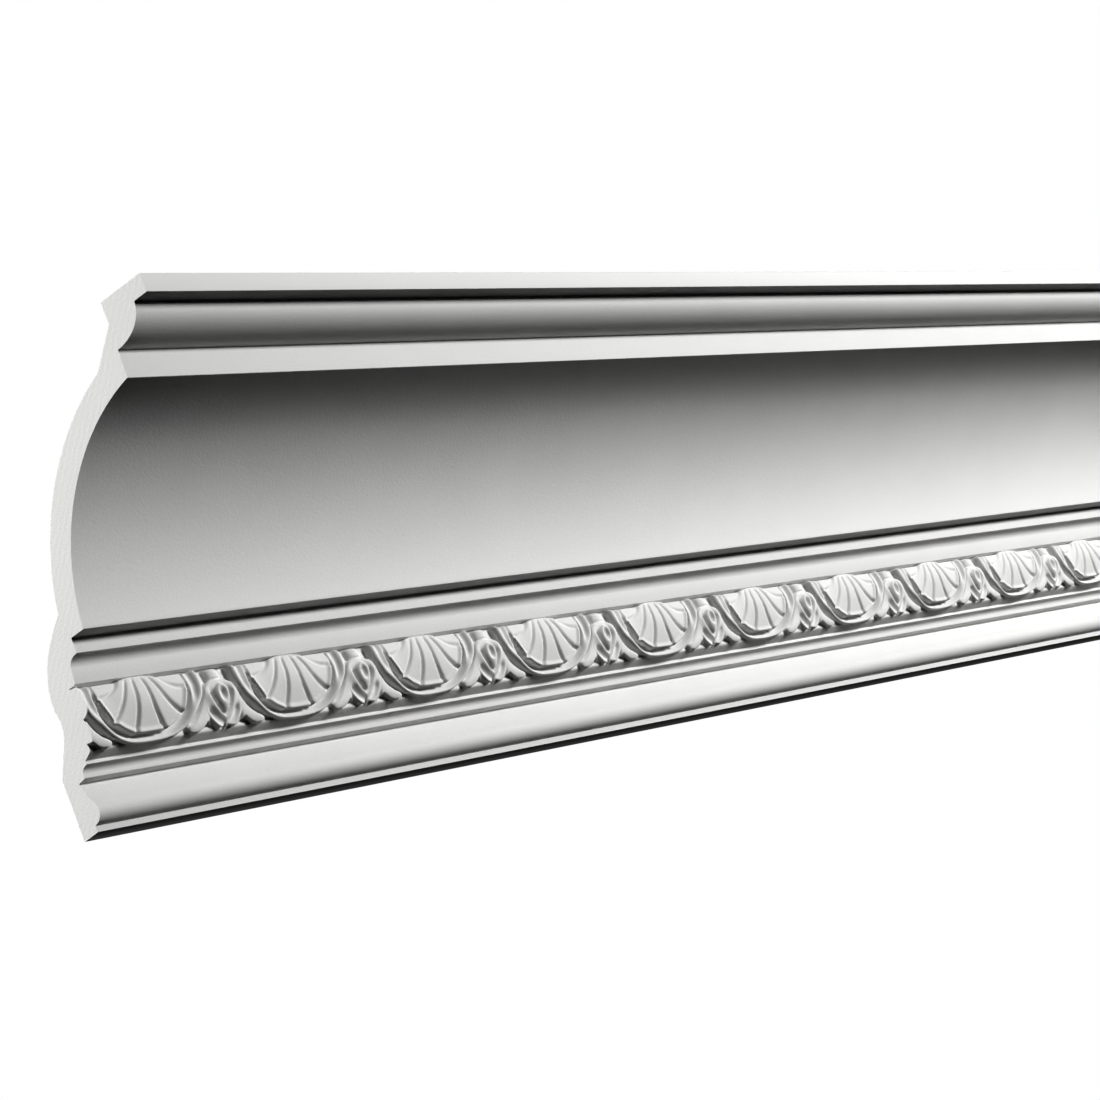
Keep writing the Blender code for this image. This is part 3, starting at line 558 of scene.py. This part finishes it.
# %% Lines of the leaves
LEAF_EDGE = [(0, 6.2), (4.6, 6.7), (7.8, 8.4), (9.8, 11.6), (11.8, 15.2), (14.5, 18.6),
             (17.8, 21.0), (20.6, 22.2), (21.9, 23.2)]
LEAF_FOOT = [(21.9, 23.2), (21.8, 24.4), (20.4, 25.3), (17.4, 25.5), (13.8, 24.6), (10.5, 22.2)]
LEAFLET_FOOT = [(10.5, 22.2), (9.4, 23.4), (6.6, 25.0), (3.8, 25.2), (1.9, 24.6), (0, 24.4)]
LEAF_RIB = [(7.2, 11.5), (8.8, 15.6), (12.4, 20.2), (18.6, 23.4)]
LEAFLET_FOLD = [(9.4, 16.4), (8.6, 19.2), (7.0, 21.6), (4.6, 23.6), (1.8, 24.8)]
ARM = [(0, 7.7), (3.6, 8.0), (6.0, 9.4), (6.8, 11.6), (6.1, 14.2), (4.2, 17.3), (2.1, 19.6), (0, 21.0)]

leaf_line = np.vstack([through(LEAF_EDGE), through(LEAF_FOOT)[1:], through(LEAFLET_FOOT)[1:]])
rib_line = through(LEAF_RIB)
fold_line = through(LEAFLET_FOLD)
arm_line = through(ARM)


def both_sides(line):
    """A half outline closed with its own mirror image across the axis."""
    return np.vstack([line, line[::-1] * np.array([-1, 1])])


leaf_outline = both_sides(leaf_line)
arm_outline = both_sides(arm_line)
print("points round the leaves:", len(leaf_outline), "and round the arms:", len(arm_outline))

# %% [markdown]
# The height of the leaves is built up as a carver would: first the leaf with its lifted tip and rounded
# rib, then the leaflet sunk into it but for its fold, then the hood and the arms, and last the floor
# between the arms, where the bulb will sit.

# %% Height of the leaves
LEAF_RELIEF = 1.8
LEAF_TIP_GAIN = 1.8
LEAF_TIP_START = 17
LEAF_TIP_RUN = 8
LEAF_CROWN = 0.5
RIB_WIDTH = 2.4
LEAFLET_REACH = 9.8
LEAFLET_TOP = 16
LEAFLET_FADES = (1.4, 2.5)
LEAFLET_SINK = 1.5
LEAFLET_FOLD_RISE = 1.9
FOLD_HALF_WIDTH = 1.0
ARM_RELIEF = 3.3
ARM_SLOPE = 2.2
ARM_WALL = 1.3
ARM_FLOOR = 0.9
HOOD_RELIEF = 2.9
HOOD_FLOOR = 1.6
HOOD_END = 12.5
HOOD_RUN = 4
LEAF_OVERHANG = EDGE_FALL / 3


def leaves(beside, down):
    depth = depth_inside(leaf_outline, beside, down)
    rib_gap, _ = distance_to(rib_line, beside, down)
    height = LEAF_RELIEF + LEAF_TIP_GAIN * smooth_step((down - LEAF_TIP_START) / LEAF_TIP_RUN)
    height = height + LEAF_CROWN * np.exp(-(rib_gap / RIB_WIDTH) ** 2)
    fold_gap, _ = distance_to(fold_line, beside, down)
    leaflet = smooth_step((LEAFLET_REACH - beside) / LEAFLET_FADES[0])
    leaflet = leaflet * smooth_step((down - LEAFLET_TOP) / LEAFLET_FADES[1])
    fold = LEAFLET_FOLD_RISE * np.exp(-(fold_gap / FOLD_HALF_WIDTH) ** 2)
    height = height - leaflet * (LEAFLET_SINK - fold)
    arm_gap, _ = distance_to(arm_line, beside, down)
    hood = smooth_step((HOOD_END - down) / HOOD_RUN)
    height = height + (HOOD_RELIEF - height) * hood
    height = height + (ARM_RELIEF - height) * np.exp(-(arm_gap / ARM_SLOPE) ** 2) * (1 - hood)
    in_arm = depth_inside(arm_outline, beside, down)
    floor_height = ARM_FLOOR + HOOD_FLOOR * hood
    height = height + (floor_height - height) * smooth_step(in_arm / ARM_WALL)
    return height * smooth_step((depth + LEAF_OVERHANG) / EDGE_FALL)


print("leaf tips rise", LEAF_RELIEF + LEAF_TIP_GAIN, "mm above the bed")

# %% [markdown]
# The bulb is round from side to side and pointed at its foot, with an oval eye pressed into it.  Below
# it a thin stem runs down between the leaflets.

# %% Bulb and stem
BULB_RELIEF = 4.7
BULB_DOWN = 11.8
BULB_HALF_WIDTH = 5.0
BULB_REACH = (3.8, 9.0)
BULB_TAPER = 1.6
EYE_CUT = 2.4
EYE_DOWN = 12.2
EYE_SIZE = (1.7, 2.5)
STEM_RELIEF = 3.3
STEM_TOP = 20.0
STEM_FOOT = 26.0
STEM_FADES = (1.5, 1.2)
STEM_WIDTH = 0.7


def bulb(beside, down):
    reach = np.where(down < BULB_DOWN, BULB_REACH[0], BULB_REACH[1])
    share = np.clip(np.abs(down - BULB_DOWN) / reach, 0.0, 1.0)
    half_width = BULB_HALF_WIDTH * (1 - share ** 2) + TINY
    crest = BULB_RELIEF - BULB_TAPER * share ** 2 * (down > BULB_DOWN)
    eye_gap = np.hypot(beside / EYE_SIZE[0], (down - EYE_DOWN) / EYE_SIZE[1])
    height = crest * rounded(np.clip(beside / half_width, 0, 1)) * np.sqrt(1 - share ** 6)
    return np.where(share < 1, height - EYE_CUT * np.exp(-eye_gap ** 4), 0.0)


def bud(beside, down):
    stem = STEM_RELIEF * np.exp(-(beside / STEM_WIDTH) ** 2)
    stem = stem * smooth_step((down - STEM_TOP) / STEM_FADES[0])
    stem = stem * smooth_step((STEM_FOOT - down) / STEM_FADES[1])
    return np.maximum.reduce([leaves(beside, down), bulb(beside, down), stem])


print("bulb stands", BULB_RELIEF, "mm above the bed")

# %% [markdown]
# A short round tab hangs over each bud, where two straps meet under the step.  A plain ledge runs under
# everything from end to end: it rises behind the feet of the strap and the leaves, and its underside
# falls back to the lip in deep shade.  With these two the carving is complete, and the highest of the
# five parts wins at each place.

# %% Tab, ledge and the whole relief
TAB_RELIEF = 2.9
TAB_HALF_WIDTH = 4.1
TAB_FOOT = 6.2
LEDGE_RELIEF = 2.0
LEDGE_TOP = 22.6
LEDGE_CREST = 25.6
LEDGE_FOOT = 29.8


def tab(beside, down):
    body = TAB_RELIEF * rounded(np.clip(beside / TAB_HALF_WIDTH, 0, 1))
    return body * finger_end(down) * (down < TAB_FOOT)


def ledge(down):
    rise = smooth_step((down - LEDGE_TOP) / (LEDGE_CREST - LEDGE_TOP))
    fall = np.clip((LEDGE_FOOT - down) / (LEDGE_FOOT - LEDGE_CREST), 0.0, 1.0)
    return LEDGE_RELIEF * np.minimum(rise, fall)


def relief(across, down):
    """Height above the bed in millimetres, at places in steps from a shell's axis and down the bed."""
    beside = GRID_ACROSS - across
    forms = [shell(across, down), strap(across, down), bud(beside, down), tab(beside, down), ledge(down)]
    return np.maximum.reduce(forms)


probe = relief(np.array([0.0, 12.0, 28.0, 42.0]), np.array([10.0, 12.0, 6.0, 9.0]))
print("relief on the shell, lobe, strap and bulb:", np.round(probe, 2), "mm")

# %% [markdown]
# One repeat of the band starts as a flat grid, whose points are bent onto the curved bed and raised by
# the relief.  A Displace modifier with a picture could raise them too, but here each height comes
# straight from the drawn lines.  Near the top the points rise along the step's underside instead of
# square to the bed, so the carving meets the step without a gap.

# %% Bend and raise one repeat
COLUMNS = 156
ROWS = 57
CUT_FROM_BUD = 11.3
SETTLE_SHARE = 0.3
soffit_angle = math.atan2(cap_lip[1] - bed_top[1], cap_lip[0] - bed_top[0])


def on_bed(down, height):
    """Out and up of points standing a height off the bed, a distance down it."""
    bed_angle = bed_start - down / bed_radius
    turn_in = smooth_step(down / (SETTLE_SHARE * bed_depth))
    angle = soffit_angle + (bed_angle - soffit_angle) * turn_in
    out = bed_centre[0] + bed_radius * np.cos(bed_angle) + height * np.cos(angle)
    up = bed_centre[1] + bed_radius * np.sin(bed_angle) + height * np.sin(angle)
    return out, up


deselect_objects()
bpy.ops.mesh.primitive_grid_add(x_subdivisions=COLUMNS, y_subdivisions=ROWS, size=1.0)
band = bpy.context.object
band.name = "carved_band"
flat = np.empty(len(band.data.vertices) * 3)
band.data.vertices.foreach_get("co", flat)
flat = flat.reshape(-1, 3)
along = flat[:, 0] * REPEAT_LENGTH
across = REPEAT_LENGTH / 2 - np.abs(along)
share_down = 0.5 - flat[:, 1]
height = relief(across * GRID_ACROSS * 2 / REPEAT_LENGTH, share_down * GRID_DOWN)
out, up = on_bed(share_down * bed_depth, height)
first_middle = -LENGTH / 2 - CUT_FROM_BUD
raised = np.stack([(along + first_middle) * MM, *section_point(out, up)], axis=1)
band.data.vertices.foreach_set("co", raised.ravel())
print("one repeat:", len(raised), "points, relief up to", round(float(height.max()), 2), "mm")

# %% [markdown]
# The mould holds one pattern many times over, so an Array modifier lays the repeats end to end and
# merges the points where they meet.  There are two more than the length holds, and a bisect saws both
# ends square.  The saw falls beside a bud, as on the real piece, so the left end shows the side of a
# leaf and half a strap.

# %% Lay the repeats end to end and saw both ends
SPARE_REPEATS = 2
repeats = band.modifiers.new("repeats", "ARRAY")
repeats.count = REPEATS + SPARE_REPEATS
repeats.use_relative_offset = False
repeats.use_constant_offset = True
repeats.constant_offset_displace = (REPEAT_LENGTH * MM, 0, 0)
repeats.use_merge_vertices = True
repeats.merge_threshold = SAME_PLACE
bpy.ops.object.modifier_apply(modifier=repeats.name)
edit(band)
for side in (-1, 1):
    bpy.ops.mesh.select_all(action="SELECT")
    bpy.ops.mesh.bisect(plane_co=(side * LENGTH / 2 * MM, 0, 0), plane_no=(side, 0, 0), clear_outer=True,
                        threshold=TWIN_DISTANCE * MM)
bpy.ops.mesh.select_all(action="SELECT")
bpy.ops.mesh.normals_make_consistent(inside=False)
bpy.ops.object.mode_set(mode="OBJECT")
bpy.ops.object.shade_smooth()
print("carved band:", len(band.data.polygons), "faces")

# %% [markdown]
# The band and the run are joined into one object.  The borders left open at the step and at the lip are
# bridged to the borders of the carving, so every point of it is tied in and the surface has no gap, and
# the two sawn ends are filled.  Before that the sawn points are set exactly on the two end planes, so the
# casting is neither longer nor shorter than its sizes say.


# %% Join, bridge and fill
SOFT_ANGLE = math.radians(28)


def on_line(out, up, reach):
    """A test for edges that run along the length at one place of the section."""
    y, z = section_point(out, up)

    def test(edge):
        here = [math.hypot(point.co.y - y, point.co.z - z) < reach for point in edge.verts]
        runs_along = abs(edge.verts[0].co.x - edge.verts[1].co.x) > SAME_PLACE
        return all(here) and runs_along and len(edge.link_faces) == 1

    return test


deselect_objects()
moulding.select_set(True)
bpy.context.view_layer.objects.active = moulding
bpy.ops.object.shade_smooth_by_angle(angle=SOFT_ANGLE)
band.select_set(True)
bpy.ops.object.join()
for vertex in moulding.data.vertices:
    if abs(abs(vertex.co.x) - LENGTH / 2 * MM) < TWIN_DISTANCE * MM:
        vertex.co.x = math.copysign(LENGTH / 2 * MM, vertex.co.x)
edit(moulding)
for member, border in ((cap_lip, bed_top), (lip_foot, bed_foot)):
    at_member = on_line(*member, 2 * ARRIS_WIDTH * MM)
    at_border = on_line(*border, TWIN_DISTANCE * MM)
    chosen = choose(moulding, "EDGE", lambda edge: at_member(edge) or at_border(edge))
    bpy.ops.mesh.mark_sharp()
    bpy.ops.mesh.bridge_edge_loops()
    print("bridged", chosen, "edges")
for side in (-1, 1):
    station = side * LENGTH / 2 * MM
    chosen = choose(moulding, "EDGE", lambda edge: len(edge.link_faces) == 1
                    and all(abs(point.co.x - station) < 2 * TWIN_DISTANCE * MM for point in edge.verts))
    bpy.ops.mesh.mark_sharp()
    bpy.ops.mesh.edge_face_add()
    print("sawn end with", chosen, "edges")
bpy.ops.mesh.select_all(action="SELECT")
bpy.ops.mesh.normals_make_consistent(inside=False)
bpy.ops.object.mode_set(mode="OBJECT")

# %% [markdown]
# A casting is one closed body, so the mesh must be closed too: every edge has a face on each side of it.
# Its volume should come close to that of the solid model.

# %% Measure the casting
net = bmesh.new()
net.from_mesh(moulding.data)
loose_edges = sum(len(edge.link_faces) != 2 for edge in net.edges)
triangles = sum(len(face.verts) - 2 for face in net.faces)
print("open edges", loose_edges, "triangles", triangles, "volume", round(net.calc_volume() * 1e6, 1), "cm3")
net.free()

# %% [markdown]
# On the real piece the front is rolled with white primer, the ends are raw sawn foam, and the back keeps
# the skin it was cast with.  All three share one grain, so it is made once as a node group that gives
# two masks: a fine grain and a broad mottle.  Each material then turns the masks into its own colour,
# roughness and bump.  Everything is measured in the object's own coordinates, in metres, so a scale of
# 900 means marks about a millimetre across.


# %% Shared grain
GRAIN_SCALE = 900.0
MOTTLE_SCALE = 28.0


def make_node(tree, kind, **sockets):
    """A node with some of its inputs set; an underscore stands for the space in an input's name."""
    node = tree.nodes.new(kind)
    for name, value in sockets.items():
        node.inputs[name.replace("_", " ")].default_value = value
    return node


grain = bpy.data.node_groups.new("foam_grain", "ShaderNodeTree")
for name in ("Grain", "Mottle"):
    grain.interface.new_socket(name, in_out="OUTPUT", socket_type="NodeSocketFloat")
place = grain.nodes.new("ShaderNodeTexCoord")
fine = make_node(grain, "ShaderNodeTexNoise", Scale=GRAIN_SCALE, Detail=3.0, Roughness=0.6)
broad = make_node(grain, "ShaderNodeTexNoise", Scale=MOTTLE_SCALE, Detail=4.0, Roughness=0.55)
sink = grain.nodes.new("NodeGroupOutput")
for texture, name in ((fine, "Grain"), (broad, "Mottle")):
    grain.links.new(place.outputs["Object"], texture.inputs["Vector"])
    grain.links.new(texture.outputs["Fac"], sink.inputs[name])
print("grain group gives", [item.name for item in grain.interface.items_tree])


# %% [markdown]
# All three surfaces are the same dull white stuff, more or less rough.  So one function starts each
# material: the mottle mixes two near colours and varies the roughness between two values, and the grain
# gives a bump a fifth of a millimetre deep.  The sheen is kept low, because primer is matt.

# %% Start of a foam material
SHEEN = 0.22
MOTTLE_RANGE = (0.3, 0.7)
GRAIN_DEPTH = 0.2 * MM


def foam_material(name, light, dark, roughness, bump):
    """A material with mottled colour, uneven roughness and a fine grain; gives its tree and bump node."""
    material = bpy.data.materials.new(name)
    material.use_nodes = True
    tree = material.node_tree
    shader = tree.nodes["Principled BSDF"]
    shader.inputs["Specular IOR Level"].default_value = SHEEN
    shared = tree.nodes.new("ShaderNodeGroup")
    shared.node_tree = grain
    colour = make_node(tree, "ShaderNodeMix")
    colour.data_type = "RGBA"
    colour.inputs["A"].default_value = (*dark, 1)
    colour.inputs["B"].default_value = (*light, 1)
    uneven = make_node(tree, "ShaderNodeMapRange")
    for socket, value in zip(("From Min", "From Max", "To Min", "To Max"), (*MOTTLE_RANGE, *roughness)):
        uneven.inputs[socket].default_value = value
    relief_node = make_node(tree, "ShaderNodeBump", Strength=bump, Distance=GRAIN_DEPTH)
    tree.links.new(shared.outputs["Mottle"], colour.inputs["Factor"])
    tree.links.new(shared.outputs["Mottle"], uneven.inputs["Value"])
    tree.links.new(shared.outputs["Grain"], relief_node.inputs["Height"])
    tree.links.new(colour.outputs["Result"], shader.inputs["Base Color"])
    tree.links.new(uneven.outputs["Result"], shader.inputs["Roughness"])
    tree.links.new(relief_node.outputs["Normal"], shader.inputs["Normal"])
    return material, tree, relief_node


primer, _, _ = foam_material("white_primer", (0.82, 0.82, 0.812), (0.78, 0.78, 0.768), (0.62, 0.78), 0.35)
print("first material:", primer.name)

# %% [markdown]
# A saw opens the cells of the foam, so the ends show fine pores, and its teeth leave faint slanting
# marks.  Both are added up into one height for a second bump under the grain.

# %% Sawn foam
PORE_SCALE = 1400.0
SAW_MARK_SCALE = 160.0

sawn, sawn_tree, sawn_bump = foam_material("sawn_foam", (0.86, 0.86, 0.85), (0.81, 0.81, 0.79),
                                           (0.8, 0.95), 0.9)
place = sawn_tree.nodes.new("ShaderNodeTexCoord")
pores = make_node(sawn_tree, "ShaderNodeTexVoronoi", Scale=PORE_SCALE)
marks = make_node(sawn_tree, "ShaderNodeTexWave", Scale=SAW_MARK_SCALE, Distortion=2.5, Detail=2.0)
marks.bands_direction = "DIAGONAL"
both = make_node(sawn_tree, "ShaderNodeMath")
both.operation = "ADD"
saw_relief = make_node(sawn_tree, "ShaderNodeBump", Strength=0.12, Distance=GRAIN_DEPTH)
sawn_tree.links.new(place.outputs["Object"], pores.inputs["Vector"])
sawn_tree.links.new(place.outputs["Object"], marks.inputs["Vector"])
sawn_tree.links.new(pores.outputs["Distance"], both.inputs[0])
sawn_tree.links.new(marks.outputs["Fac"], both.inputs[1])
sawn_tree.links.new(both.outputs["Value"], saw_relief.inputs["Height"])
sawn_tree.links.new(saw_relief.outputs["Normal"], sawn_bump.inputs["Normal"])
print("pores about", round(1 / PORE_SCALE / MM, 1), "mm across")

# %% [markdown]
# The back was cast against the mould's other half and never painted: it is a little yellower, with
# shallow pits where bubbles lay against the mould.  Only the heart of each Voronoi cell becomes a pit.

# %% Cast skin
BUBBLE_SCALE = 140.0
PIT_SHARE = 0.22
PIT_DEPTH = 0.6 * MM

skin, skin_tree, skin_bump = foam_material("cast_skin", (0.8, 0.795, 0.775), (0.72, 0.715, 0.69),
                                           (0.6, 0.8), 0.5)
place = skin_tree.nodes.new("ShaderNodeTexCoord")
bubbles = make_node(skin_tree, "ShaderNodeTexVoronoi", Scale=BUBBLE_SCALE)
pits = make_node(skin_tree, "ShaderNodeMapRange", From_Max=PIT_SHARE)
pit_relief = make_node(skin_tree, "ShaderNodeBump", Strength=0.6, Distance=PIT_DEPTH)
skin_tree.links.new(place.outputs["Object"], bubbles.inputs["Vector"])
skin_tree.links.new(bubbles.outputs["Distance"], pits.inputs["Value"])
skin_tree.links.new(pits.outputs["Result"], pit_relief.inputs["Height"])
skin_tree.links.new(pit_relief.outputs["Normal"], skin_bump.inputs["Normal"])
print("bubbles about", round(1 / BUBBLE_SCALE / MM, 1), "mm apart")

# %% [markdown]
# Each face takes its material from where it lies.  A face on an end plane is sawn foam, a face on the
# outline of the back is cast skin, and all the rest is primed.  Faces could be picked by hand, but a
# distance finds them again whenever a size changes.

# %% Put each material on its faces
SKIN_REACH = MM / 4
END_REACH = MM / 10
back_outline = [(0.0, 0.0), (0.0, WALL_SEAT_HEIGHT)] + back + above[:3]
back_line = np.array([section_point(*point) for point in back_outline])
for material in (primer, sawn, skin):
    moulding.data.materials.append(material)
faces = moulding.data.polygons
centres = np.array([face.center for face in faces])
normals = np.array([face.normal for face in faces])
from_back, _ = distance_to(back_line, centres[:, 1], centres[:, 2])
is_end = (np.abs(np.abs(centres[:, 0]) - LENGTH / 2 * MM) < END_REACH) & (np.abs(normals[:, 0]) > 0.9)
slots = np.where(is_end, 1, np.where(from_back < SKIN_REACH, 2, 0))
faces.foreach_set("material_index", slots)
moulding.data.update()
print("faces with primer, sawn foam, cast skin:", np.bincount(slots).tolist())

# %% [markdown]
# The background is white for the camera alone.  As a light it is almost off, because a white room would
# fill every shade, and the photograph has deep ones.  A Light Path node tells the two uses apart.

# %% Background
ROOM_GLOW = 0.002
world = bpy.data.worlds.new("studio")
bpy.context.scene.world = world
world.use_nodes = True
tree = world.node_tree
path = tree.nodes.new("ShaderNodeLightPath")
mix = make_node(tree, "ShaderNodeMix")
mix.data_type = "FLOAT"
mix.inputs["A"].default_value = ROOM_GLOW
mix.inputs["B"].default_value = 1.0
tree.links.new(path.outputs["Is Camera Ray"], mix.inputs["Factor"])
tree.links.new(mix.outputs["Result"], tree.nodes["Background"].inputs["Strength"])
tree.nodes["Background"].inputs["Color"].default_value = (1, 1, 1, 1)
print("background for the camera 1, as a light", ROOM_GLOW)

# %% [markdown]
# The photograph has one soft lamp in front and to the right, and almost no fill: that is why every
# underside is nearly black and the carving stands out so crisply.  A second weak lamp behind the left
# end keeps the sawn face bright, and a third one shows the back when the casting is turned.

# %% Lamps
KEY_SPREAD = math.radians(145)
LAMPS = {  # place, target and width in metres, power in watts
    "key_light": ((1.1, -1.9, 0.62), (-0.3, 0, 0.08), 0.45, 40),
    "end_light": ((-1.4, 0.55, 0.6), (-0.42, 0, 0.1), 0.5, 20),
    "back_light": ((0.3, 1.8, -0.45), (0, 0, 0), 0.6, 12),
}
for name, (position, target, width, power) in LAMPS.items():
    data = bpy.data.lights.new(name, "AREA")
    data.size = width
    data.energy = power
    lamp = bpy.data.objects.new(name, data)
    bpy.context.scene.collection.objects.link(lamp)
    aim = (Vector(target) - Vector(position)).to_track_quat("-Z", "Y")
    lamp.matrix_world = Matrix.Translation(position) @ aim.to_matrix().to_4x4()
bpy.data.lights["key_light"].spread = KEY_SPREAD
print("lamps:", list(LAMPS))

# %% [markdown]
# The floor lies far below and glows just enough to stay pale, but it sends no light back up, otherwise
# the undersides would glow too.  A picture gamma below one gives the hard contrast of the print.

# %% Floor and contrast
FLOOR_LEVEL = -2.2
FLOOR_SIZE = 16
FLOOR_GLOW = 0.75
PICTURE_GAMMA = 0.73
deselect_objects()
bpy.ops.mesh.primitive_plane_add(size=FLOOR_SIZE, location=(0, 0, FLOOR_LEVEL))
floor = bpy.context.object
floor.name = "studio_floor"
floor.visible_diffuse = False
floor.visible_glossy = False
plain = bpy.data.materials.new("pale_floor")
plain.use_nodes = True
paint = plain.node_tree.nodes["Principled BSDF"]
paint.inputs["Base Color"].default_value = (0.5, 0.5, 0.5, 1)
paint.inputs["Roughness"].default_value = 0.9
paint.inputs["Emission Color"].default_value = (1, 1, 1, 1)
paint.inputs["Emission Strength"].default_value = FLOOR_GLOW
floor.data.materials.append(plain)
bpy.context.scene.view_settings.view_transform = "Standard"
bpy.context.scene.view_settings.gamma = PICTURE_GAMMA
print("floor", -FLOOR_LEVEL, "m below the casting")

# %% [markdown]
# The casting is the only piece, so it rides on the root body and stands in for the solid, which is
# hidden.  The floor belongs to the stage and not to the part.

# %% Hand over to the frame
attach(moulding, "root")
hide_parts("cornice_moulding")
print("handed over:", moulding.name)
